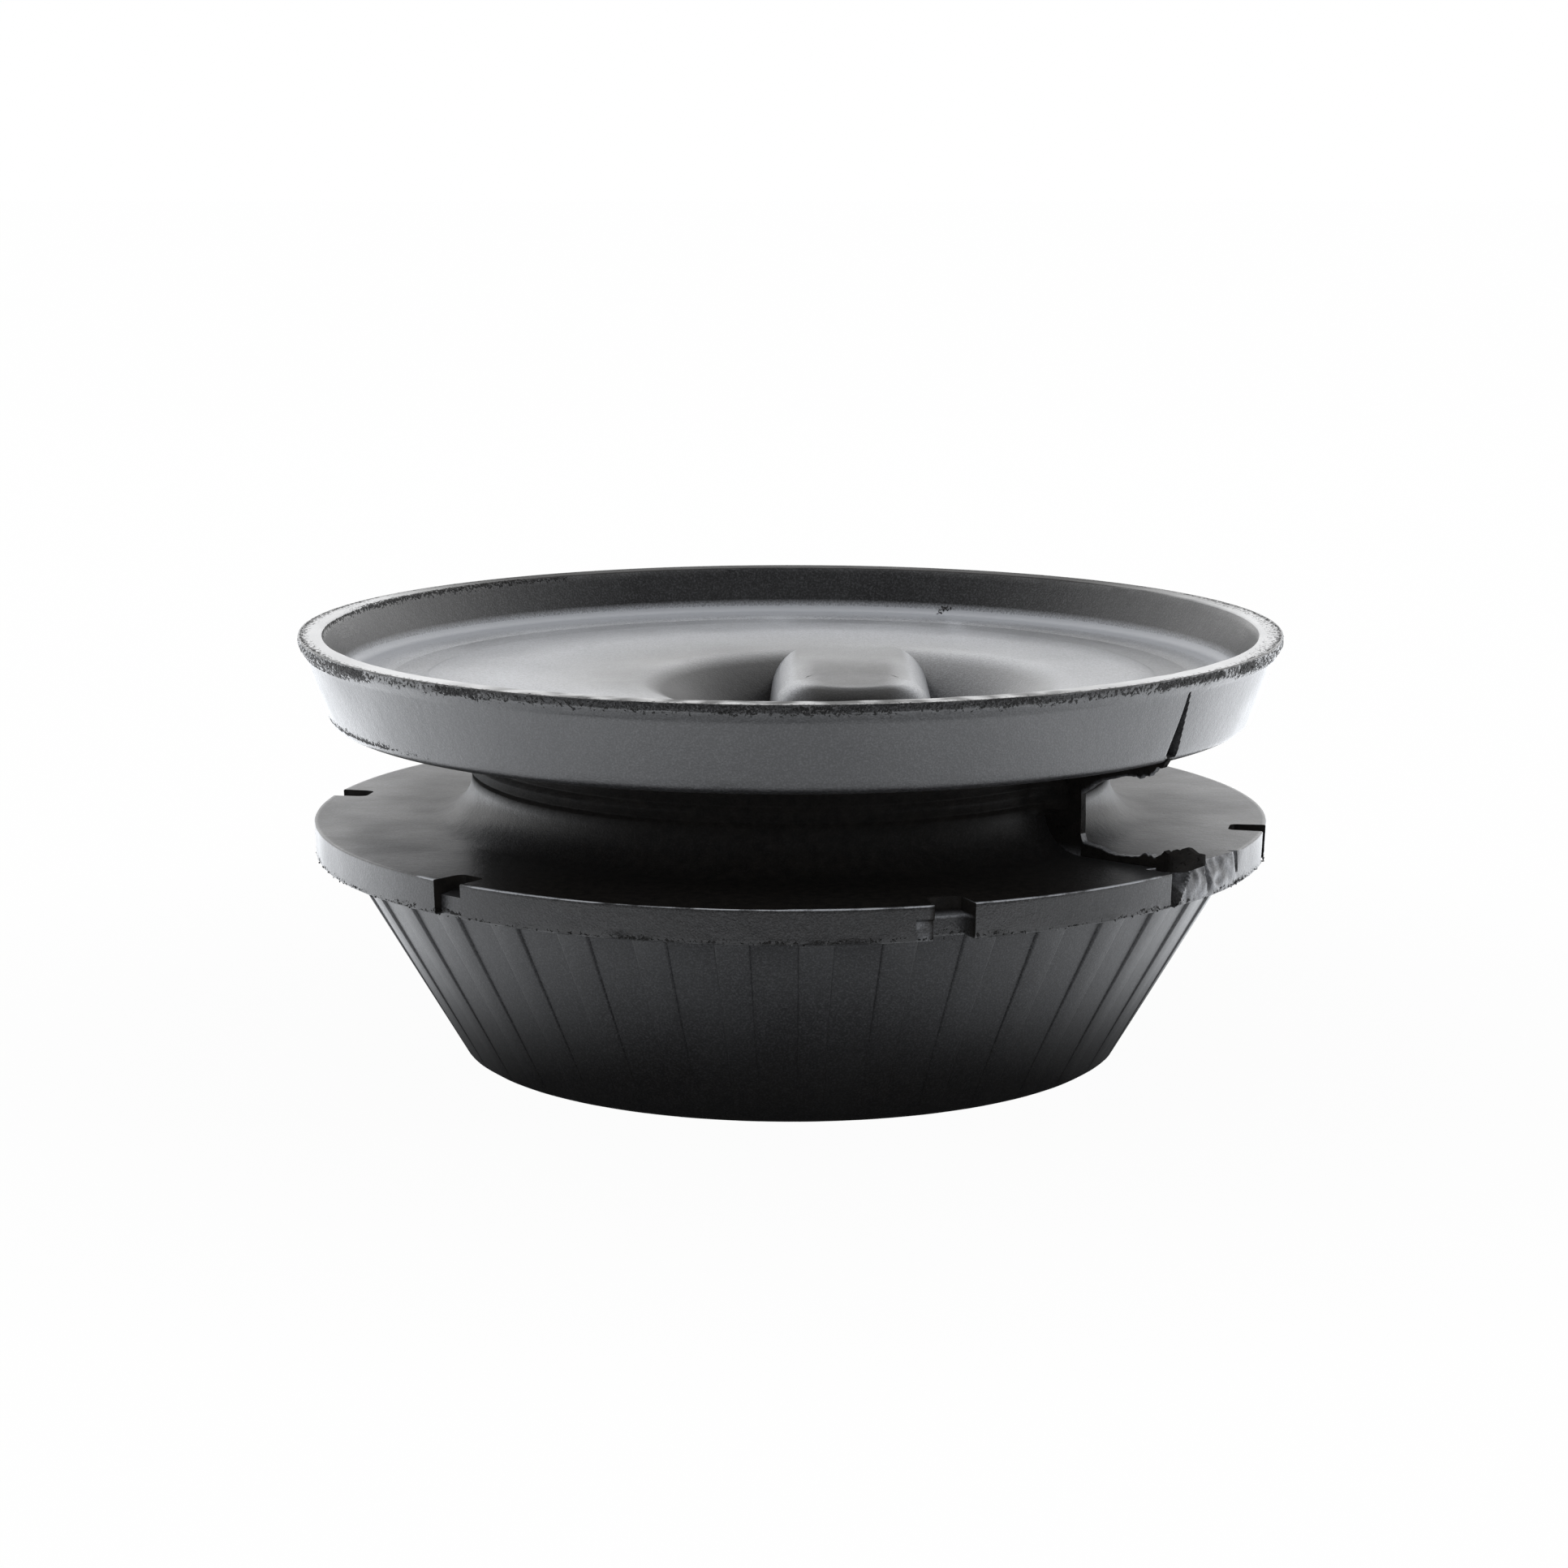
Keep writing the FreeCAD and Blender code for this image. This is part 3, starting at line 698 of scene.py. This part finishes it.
class MOUNT_OT_body(bpy.types.Operator):
    """Make the moulding: cone, notched flange, neck, dish and hub in one skin"""
    bl_idname = "mount.body"
    bl_label = "Moulding"

    def execute(self, context):
        sizes = context.scene.mount_sizes
        web_half, ragged = sizes.web_thickness / MM / 2, sizes.ragged / MM
        rings = body_rings()
        columns = fine_columns()
        vertices, torn, trimmed_and_painted_highlight, dust_and_painted_light, matt_and_painted_shade = [], [], [], [], []
        for shift, r, z, zone in rings:
            for azimuth in columns:
                x, y, height, tear = body_point(shift, r, z, zone, azimuth, web_half, ragged)
                vertices.append((x, y, height))
                torn.append(tear)
                trimmed_and_painted_highlight.append(trimmed_and_painted_highlight_on(x, y, zone))
                dust_and_painted_light.append(dust_and_painted_light_on(x, y, height, zone))
                matt_and_painted_shade.append(matt_and_painted_shade_on(x, y, height, zone))
        faces = quads(len(rings), len(columns), closed=True)
        piece = finished("rubber_moulding", vertices, faces, the_rubber(),
                         layers={"torn": torn, "trimmed_and_painted_highlight": trimmed_and_painted_highlight, "dust_and_painted_light": dust_and_painted_light, "matt_and_painted_shade": matt_and_painted_shade})
        carried(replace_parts(piece, "mount_body"))
        return {"FINISHED"}


def bridge_mesh():
    """Bar behind the hub with the hub's own flanks: points, faces, its share of pale colour, partly
    powdery and partly painted light, and its share of dull painted shade.
    """
    flank = [(0, FLOOR, 0, 0, "hub"), (HUB_RADIUS, FLOOR, HUB_EDGE, 7, "flank")]
    flank += channel_bottom()[::-1]
    half = spaced(rounded(flank)[:-1], {"hub": 1.5, "flank": 1.0})
    across = [(-r, z) for r, z, _ in reversed(half)] + [(r, z) for r, z, _ in half[1:]]
    steps = 30
    vertices, dust_and_painted_light, matt_and_painted_shade = [], [], []
    for i in range(steps + 1):
        # Its ends lie a little lower, so that they don't share a plane with the hub and the floor.
        sunk = 0.02 * (i in (0, steps))
        for r, z in across:
            start = math.sqrt(max(0.0, HUB_FLAT ** 2 - r * r))
            end = math.sqrt(BRIDGE_REACH ** 2 - r * r)
            x, y = r + HUB_OFFSET, start + (end - start) * i / steps - HUB_FORWARD
            vertices.append((x, y, z - sunk))
            dust_and_painted_light.append(dust_and_painted_light_on(x, y, z, "hub"))
            matt_and_painted_shade.append(matt_and_painted_shade_on(x, y, z, "hub"))
    faces = quads(steps + 1, len(across), closed=False)
    return vertices, faces, {"dust_and_painted_light": dust_and_painted_light, "matt_and_painted_shade": matt_and_painted_shade}


class MOUNT_OT_bridge(bpy.types.Operator):
    """Tie the hub to the floor behind it"""
    bl_idname = "mount.bridge"
    bl_label = "Hub bridge"

    def execute(self, context):
        vertices, faces, layers = bridge_mesh()
        carried(finished("hub_bridge", vertices, faces, the_rubber(), layers=layers))
        return {"FINISHED"}


def rib_mesh(width):
    """One rib along the cone at the front, drawn as rings of its cross section."""
    half_crest = width / 2 / CONE_TOP
    half_foot = half_crest + 0.16 / CONE_TOP
    right = [(half_crest - 0.004, 0.0), (half_crest - 0.0012, -0.03), (half_crest, -0.1),
             (half_foot, -RIB_HEIGHT), (half_foot, -1.2)]
    section = [(-angle, lift) for angle, lift in reversed(right)] + [(0.0, 0.0)] + right
    heights = [(0.0, 0.5), (0.5, 0.0)]
    heights += [(0.5 + (UNDERSIDE - 0.45) * i / 8, 0.0) for i in range(1, 9)]
    vertices = []
    for z, inset in heights:
        crest = CONE_TOP - (UNDERSIDE - z) * CONE_SLOPE - inset
        for angle, lift in section:
            r = crest + lift
            vertices.append((math.sin(angle) * r, -math.cos(angle) * r, z))
    wide = len(section)
    faces = quads(len(heights), wide, closed=True)
    faces.append(tuple(range(wide - 1, -1, -1)))
    faces.append(tuple((len(heights) - 1) * wide + k for k in range(wide)))
    return vertices, faces


def shape_tree(name, inputs):
    """Geometry nodes with a shape in, a shape out and the inputs named, and what comes in."""
    tree = bpy.data.node_groups.new(name, "GeometryNodeTree")
    sockets = tree.interface
    sockets.new_socket("Geometry", in_out="INPUT", socket_type="NodeSocketGeometry")
    for label, kind in inputs:
        sockets.new_socket(label, in_out="INPUT", socket_type="NodeSocket" + kind)
    sockets.new_socket("Geometry", in_out="OUTPUT", socket_type="NodeSocketGeometry")
    return tree, add_node(tree, "NodeGroupInput").outputs


def send_out(tree, copies, material):
    """End of a tree: its copies as real geometry in one material."""
    real = add_node(tree, "GeometryNodeRealizeInstances", [(copies.outputs[0], "Geometry")])
    finish = add_node(tree, "GeometryNodeSetMaterial", [(real.outputs[0], "Geometry")],
                      in_Material=material)
    add_node(tree, "NodeGroupOutput", [(finish.outputs[0], "Geometry")])


def turned_copies_tree(material):
    """Geometry nodes that set copies of a shape round the Z axis at an even pitch."""
    tree, given = shape_tree("turned_copies", (("Count", "Int"), ("First", "Float")))
    points = add_node(tree, "GeometryNodePoints", [(given["Count"], "Count")])
    number = add_node(tree, "GeometryNodeInputIndex")
    pitch = add_node(tree, "ShaderNodeMath", [(given["Count"], 1)], operation="DIVIDE",
                     in_0=2 * math.pi)
    turn = add_node(tree, "ShaderNodeMath",
                    [(number.outputs[0], 0), (pitch.outputs[0], 1), (given["First"], 2)],
                    operation="MULTIPLY_ADD")
    about_z = add_node(tree, "ShaderNodeCombineXYZ", [(turn.outputs[0], "Z")])
    copies = add_node(tree, "GeometryNodeInstanceOnPoints",
                      [(points.outputs[0], "Points"), (given["Geometry"], "Instance"),
                       (about_z.outputs[0], "Rotation")])
    send_out(tree, copies, material)
    return tree


def grown(name, source, tree, values):
    """Plain mesh object of what a geometry nodes tree makes of an object."""
    modifier = source.modifiers.new("make", "NODES")
    modifier.node_group = tree
    for item in tree.interface.items_tree:
        if item.item_type == "SOCKET" and item.in_out == "INPUT" and item.name in values:
            modifier[item.identifier] = values[item.name]
    bpy.context.view_layer.update()
    seen = source.evaluated_get(bpy.context.evaluated_depsgraph_get())
    mesh = bpy.data.meshes.new_from_object(seen)
    source.modifiers.remove(modifier)
    bpy.data.objects.remove(source)
    mesh.name = name
    piece = bpy.data.objects.new(name, mesh)
    bpy.context.scene.collection.objects.link(piece)
    return piece


class MOUNT_OT_ribs(bpy.types.Operator):
    """Set the raised ribs round the cone"""
    bl_idname = "mount.ribs"
    bl_label = "Ribs"

    def execute(self, context):
        sizes = context.scene.mount_sizes
        vertices, faces = rib_mesh(sizes.rib_width / MM)
        # The ribs take the same painted shade towards the cone's foot.
        matt_and_painted_shade = [matt_and_painted_shade_on(x, y, z, "cone") for x, y, z in vertices]
        one = finished("one_rib", vertices, faces, the_rubber(), sharp=50, layers={"matt_and_painted_shade": matt_and_painted_shade})
        tree = turned_copies_tree(the_rubber())
        piece = grown("cone_ribs", one, tree, {"Count": sizes.rib_count, "First": sizes.rib_first})
        carried(piece)
        return {"FINISHED"}


# Torn edges of the flash web in the plane of the parting line: radius, height
WEB_LOW = [(WEB_INNER, 31.7), (44.7, 30.7), (47.3, 30.4), (49.5, 29.8), (52.0, 29.9),
           (55.4, 30.6), (58.3, 31.2), (59.4, 30.4)]
WEB_HIGH = [(WEB_INNER, 36.3), (46.4, 37.6), (48.4, 38.6), (51.3, 39.3), (52.7, 39.1),
            (53.9, 39.4), (54.1, 40.0), (55.3, 41.0), (56.6, 41.9)]


def line_height(points, r):
    """Height of a line of points at a radius."""
    radii = [p[0] for p in points]
    i = min(max(bisect.bisect_right(radii, r), 1), len(points) - 1)
    (r0, z0), (r1, z1) = points[i - 1], points[i]
    t = min(1.0, max(0.0, (r - r0) / (r1 - r0)))
    return z0 + (z1 - z0) * t


def torn_line(points, r, seed):
    """Height of the web's torn edge at a radius; it is torn deeper towards its tip."""
    deep = 0.12 + 0.45 * smooth(50, 54, r)
    wavy = 0.25 * rough(r, 0, 0, 2.1, seed)
    return line_height(points, r) + wavy + deep * rough(r, 0, 0, 0.6, seed)


def skirt_foot(r):
    """Height of the web's foot: level in the groove and rising past the flange."""
    return WEB_FOOT + 1.2 * max(0.0, r - 58.2) / 2.5


def web_slab(radii, low, high, half, name):
    """Torn slab of flash in the parting plane: one column of points for each radius."""
    levels = 8
    vertices, pale, matt_and_painted_shade = [], [], []
    for r in radii:
        bottom, top = low(r), high(r)
        azimuth = math.radians(PARTING + 4.0 * smooth(56.5, 61.0, r))
        for side in (-1, 1):
            for i in range(levels + 1):
                share = i / levels
                z = bottom + (top - bottom) * share
                thick = half * (1 + 0.25 * rough(r, z, side, 1.3, 21))
                thick *= 1 - 0.6 * smooth(57, 61, r)
                a = azimuth + side * thick / r
                vertices.append((math.sin(a) * r, -math.cos(a) * r, z))
                # Pale along the slab's torn edges near the groove: a painted highlight. Elsewhere
                # the slab's sheen is taken away for a darker black: painted shade.
                pale.append(0.5 if i in (0, levels) and r < 55 else 0.0)
                matt_and_painted_shade.append(0.3 if pale[-1] else 0.93)
    tall = levels + 1
    faces = []
    for c in range(len(radii) - 1):
        here, there = c * 2 * tall, (c + 1) * 2 * tall
        for i in range(levels):
            faces.append((here + i, here + i + 1, there + i + 1, there + i))
            far, beyond = here + tall + i, there + tall + i
            faces.append((far, beyond, beyond + 1, far + 1))
        for i in (0, levels):
            faces.append((here + i, here + tall + i, there + tall + i, there + i))
    for here in (0, (len(radii) - 1) * 2 * tall):
        for i in range(levels):
            faces.append((here + i, here + i + 1, here + tall + i + 1, here + tall + i))
    return finished(name, vertices, faces, the_rubber(), sharp=40,
                    layers={"torn": [0.15] * len(vertices), "dust_and_painted_light": pale, "matt_and_painted_shade": matt_and_painted_shade})


class MOUNT_OT_web(bpy.types.Operator):
    """Stand the torn flash web in the neck groove"""
    bl_idname = "mount.web"
    bl_label = "Flash web"

    def execute(self, context):
        half = context.scene.mount_sizes.web_thickness / MM / 2
        skirt = [WEB_INNER + i * 0.25 for i in range(61)]
        rag = skirt[:49]
        root = [38.0 + i * 0.8 for i in range(9)]
        slabs = [("flash_skirt", skirt, skirt_foot, lambda r: torn_line(WEB_LOW, r, 31)),
                 ("flash_rag", rag, lambda r: torn_line(WEB_HIGH, r, 32), lambda r: WEB_TOP),
                 ("flash_root", root, lambda r: WEB_FOOT, lambda r: WEB_TOP)]
        for piece in [web_slab(radii, low, high, half, name) for name, radii, low, high in slabs]:
            carried(piece)
        return {"FINISHED"}


def crumb_tree(material):
    """Geometry nodes that strew torn crumbs along a level circle."""
    tree, given = shape_tree("torn_crumbs", (
        ("Radius", "Float"), ("Height", "Float"), ("Spread", "Float"),
        ("Size", "Float"), ("Count", "Int"), ("Seed", "Int")))
    circle = add_node(tree, "GeometryNodeCurvePrimitiveCircle",
                      [(given["Count"], "Resolution"), (given["Radius"], "Radius")])
    points = add_node(tree, "GeometryNodeCurveToPoints",
                      [(circle.outputs[0], "Curve"), (given["Count"], "Count")])
    back = add_node(tree, "ShaderNodeMath", [(given["Spread"], 0)], operation="MULTIPLY",
                    in_1=-1.0)
    least = add_node(tree, "ShaderNodeCombineXYZ", [(back.outputs[0], axis) for axis in "XYZ"])
    most = add_node(tree, "ShaderNodeCombineXYZ", [(given["Spread"], axis) for axis in "XYZ"])
    shift = add_node(tree, "FunctionNodeRandomValue",
                     [(least.outputs[0], 0), (most.outputs[0], 1), (given["Seed"], "Seed")],
                     data_type="FLOAT_VECTOR")
    raised = add_node(tree, "ShaderNodeCombineXYZ", [(given["Height"], "Z")])
    moved = add_node(tree, "ShaderNodeVectorMath",
                     [(shift.outputs[0], 0), (raised.outputs[0], 1)], operation="ADD")
    placed = add_node(tree, "GeometryNodeSetPosition",
                      [(points.outputs[0], "Geometry"), (moved.outputs[0], "Offset")])
    turn = add_node(tree, "FunctionNodeRandomValue", [(given["Seed"], "Seed")],
                    data_type="FLOAT_VECTOR", in_1=(6.3, 6.3, 6.3))
    size = add_node(tree, "FunctionNodeRandomValue", [(given["Seed"], "Seed")],
                    data_type="FLOAT_VECTOR", in_0=(0.3, 0.3, 0.15), in_1=(1.5, 1.0, 0.6))
    scaled = add_node(tree, "ShaderNodeVectorMath",
                      [(size.outputs[0], 0), (given["Size"], "Scale")], operation="SCALE")
    crumbs = add_node(tree, "GeometryNodeInstanceOnPoints",
                      [(placed.outputs[0], "Points"), (given["Geometry"], "Instance"),
                       (turn.outputs[0], "Rotation"), (scaled.outputs[0], "Scale")])
    send_out(tree, crumbs, material)
    return tree


# Where crumbs cling: name, radius, height, spread, count, seed
CRUMB_RINGS = [
    ("crumbs_flange", 58.1, 25.1, 0.2, 260, 5),
    ("crumbs_lip", 59.65, 51.2, 0.25, 320, 6),
]


class MOUNT_OT_crumbs(bpy.types.Operator):
    """Strew crumbs of torn flash along the lip and the flange"""
    bl_idname = "mount.crumbs"
    bl_label = "Crumbs"

    def execute(self, context):
        tree = crumb_tree(the_rubber())
        for name, radius, height, spread, count, seed in CRUMB_RINGS:
            work = bmesh.new()
            bmesh.ops.create_icosphere(work, subdivisions=1, radius=1.0)
            mesh = bpy.data.meshes.new("one_crumb")
            work.to_mesh(mesh)
            work.free()
            one = bpy.data.objects.new("one_crumb", mesh)
            context.scene.collection.objects.link(one)
            values = {"Radius": radius * MM, "Height": height * MM, "Spread": spread * MM,
                      "Size": context.scene.mount_sizes.crumb_size, "Count": count, "Seed": seed}
            piece = grown(name, one, tree, values)
            layers = piece.data.attributes
            torn = layers.get("torn") or layers.new("torn", "FLOAT", "POINT")
            torn.data.foreach_set("value", [0.7] * len(piece.data.vertices))
            carried(piece)
        return {"FINISHED"}


def table_paper(look):
    """White paper: plain to the camera, with a painted shadow round the part, and glowing in
    reflections.
    """
    material = bpy.data.materials.new("matt_paper")
    material.use_nodes = True
    tree = material.node_tree
    tree.nodes.clear()
    place = add_node(tree, "ShaderNodeNewGeometry").outputs["Position"]
    reach = add_node(tree, "ShaderNodeVectorMath", [(place, 0)], operation="LENGTH")
    # A painted shadow: the paper's colour is darker close to the part, on top of its real shadow.
    shade = add_node(tree, "ShaderNodeMapRange", [(reach.outputs["Value"], "Value")],
                     in_1=0.05, in_2=0.14, in_3=0.25, in_4=1.0)
    shaded = add_node(tree, "ShaderNodeVectorMath", [(shade.outputs[0], "Scale")],
                      operation="SCALE", in_0=look.floor[:3])
    paper = add_node(tree, "ShaderNodeBsdfDiffuse", [(shaded.outputs[0], "Color")])
    white = add_node(tree, "ShaderNodeEmission", in_Strength=1.0)
    rays = add_node(tree, "ShaderNodeLightPath")
    share = add_node(tree, "ShaderNodeMath", [(rays.outputs["Is Camera Ray"], 0)],
                     operation="MULTIPLY", in_1=0.97)
    seen = add_node(tree, "ShaderNodeMixShader",
                    [(share.outputs[0], 0), (paper.outputs[0], 1), (white.outputs[0], 2)])
    # The glow in reflections is weak close to the part and on the camera's side.
    wide = add_node(tree, "ShaderNodeVectorMath", [(place, 0)], operation="MULTIPLY",
                    in_1=(1.35, 1.0, 1.0))
    away = add_node(tree, "ShaderNodeVectorMath", [(wide.outputs[0], 0)], operation="LENGTH")
    table = add_node(tree, "ShaderNodeMapRange", [(away.outputs["Value"], "Value")],
                     in_1=0.05, in_2=0.13, in_3=0.06, in_4=look.table)
    depth = add_node(tree, "ShaderNodeSeparateXYZ", [(place, 0)])
    front = add_node(tree, "ShaderNodeMapRange", [(depth.outputs["Y"], "Value")],
                     in_1=-0.17, in_2=-0.11, in_3=0.05, in_4=1.0)
    rear = add_node(tree, "ShaderNodeMapRange", [(depth.outputs["Y"], "Value")],
                    in_1=-0.03, in_2=0.12, in_3=1.0, in_4=1.6)
    near = add_node(tree, "ShaderNodeMath", [(table.outputs[0], 0), (front.outputs[0], 1)],
                    operation="MULTIPLY")
    lit = add_node(tree, "ShaderNodeMath", [(near.outputs[0], 0), (rear.outputs[0], 1)],
                   operation="MULTIPLY")
    glow = add_node(tree, "ShaderNodeEmission", [(lit.outputs[0], "Strength")],
                    in_Color=(0.94, 0.965, 1.0, 1.0))
    both = add_node(tree, "ShaderNodeMixShader",
                    [(rays.outputs["Is Glossy Ray"], 0), (seen.outputs[0], 1),
                     (glow.outputs[0], 2)])
    add_node(tree, "ShaderNodeOutputMaterial", [(both.outputs[0], "Surface")])
    return material


def studio_world(look):
    """White light from all round; in reflections the walls are dark on the camera's side."""
    world = bpy.data.worlds.new("white_studio")
    world.use_nodes = True
    tree = world.node_tree
    tree.nodes.clear()
    rays = add_node(tree, "ShaderNodeLightPath")
    direct = add_node(tree, "ShaderNodeSeparateXYZ",
                      [(add_node(tree, "ShaderNodeTexCoord").outputs["Generated"], 0)])
    walls = add_node(tree, "ShaderNodeMapRange", [(direct.outputs["Y"], "Value")],
                     in_1=-0.5, in_2=0.4, in_3=0.08, in_4=look.walls)
    soft = add_node(tree, "ShaderNodeMix",
                    [(rays.outputs["Is Glossy Ray"], 0), (walls.outputs[0], 3)], in_2=look.sky)
    strength = add_node(tree, "ShaderNodeMix",
                        [(rays.outputs["Is Camera Ray"], 0), (soft.outputs[0], 2)], in_3=1.0)
    sky = add_node(tree, "ShaderNodeBackground", [(strength.outputs[0], "Strength")],
                   in_Color=(1, 1, 1, 1))
    add_node(tree, "ShaderNodeOutputWorld", [(sky.outputs[0], "Surface")])
    return world


def aimed(name, data, place, aim):
    """Object of a lamp or a camera at a place, in metres, turned to look at a point."""
    thing = bpy.data.objects.new(name, data)
    thing.location = place
    line = Vector(aim) - thing.location
    thing.rotation_euler = line.to_track_quat("-Z", "Y").to_euler()
    bpy.context.scene.collection.objects.link(thing)
    return thing


class MOUNT_OT_stage(bpy.types.Operator):
    """Lay the pale floor and set the lamp, the sky and the camera"""
    bl_idname = "mount.stage"
    bl_label = "Stage"

    def execute(self, context):
        look = context.scene.mount_stage
        bpy.ops.mesh.primitive_plane_add(size=6.0, location=(0, 0, 0))
        floor = context.object
        floor.name = "floor"
        floor.data.materials.append(table_paper(look))
        context.scene.world = studio_world(look)

        lamp = bpy.data.lights.new("back_lamp", "AREA")
        lamp.shape = "RECTANGLE"
        lamp.size, lamp.size_y = 0.9, 0.5
        lamp.energy = look.back_lamp
        aimed("back_lamp", lamp, (0.0, 0.75, 0.35), (0, 0, 0.04))

        camera = bpy.data.cameras.new("photo_camera")
        camera.lens = CAMERA_LENS
        camera.sensor_width = 36.0
        camera.clip_start = 0.01
        context.scene.camera = aimed("photo_camera", camera, CAMERA, CAMERA_AIM)
        context.scene.view_settings.view_transform = "Standard"
        return {"FINISHED"}


class MOUNT_PT_panel(bpy.types.Panel):
    bl_label = "Strut mount"
    bl_idname = "MOUNT_PT_panel"
    bl_space_type = "VIEW_3D"
    bl_region_type = "UI"
    bl_category = "Strut mount"

    def draw(self, context):
        for holder in GROUPS:
            group = getattr(context.scene, holder)
            for name in group.__annotations__:
                self.layout.prop(group, name)
        for step in STEPS:
            self.layout.operator(step.bl_idname)


STEPS = (MOUNT_OT_body, MOUNT_OT_bridge, MOUNT_OT_ribs, MOUNT_OT_web, MOUNT_OT_crumbs,
         MOUNT_OT_stage)
GROUPS = {"mount_sizes": MouldingSizes, "mount_finish": RubberFinish, "mount_stage": StageLook}


def register():
    for kind in (*GROUPS.values(), *STEPS, MOUNT_PT_panel):
        bpy.utils.register_class(kind)
    for name, kind in GROUPS.items():
        setattr(bpy.types.Scene, name, bpy.props.PointerProperty(type=kind))


def unregister():
    for name in GROUPS:
        delattr(bpy.types.Scene, name)
    for kind in (MOUNT_PT_panel, *reversed(STEPS), *GROUPS.values()):
        bpy.utils.unregister_class(kind)


def main():
    register()
    bpy.ops.mount.body()
    bpy.ops.mount.bridge()
    bpy.ops.mount.ribs()
    bpy.ops.mount.web()
    bpy.ops.mount.crumbs()
    bpy.ops.mount.stage()
    bpy.context.view_layer.update()


if __name__ == "__main__":
    main()
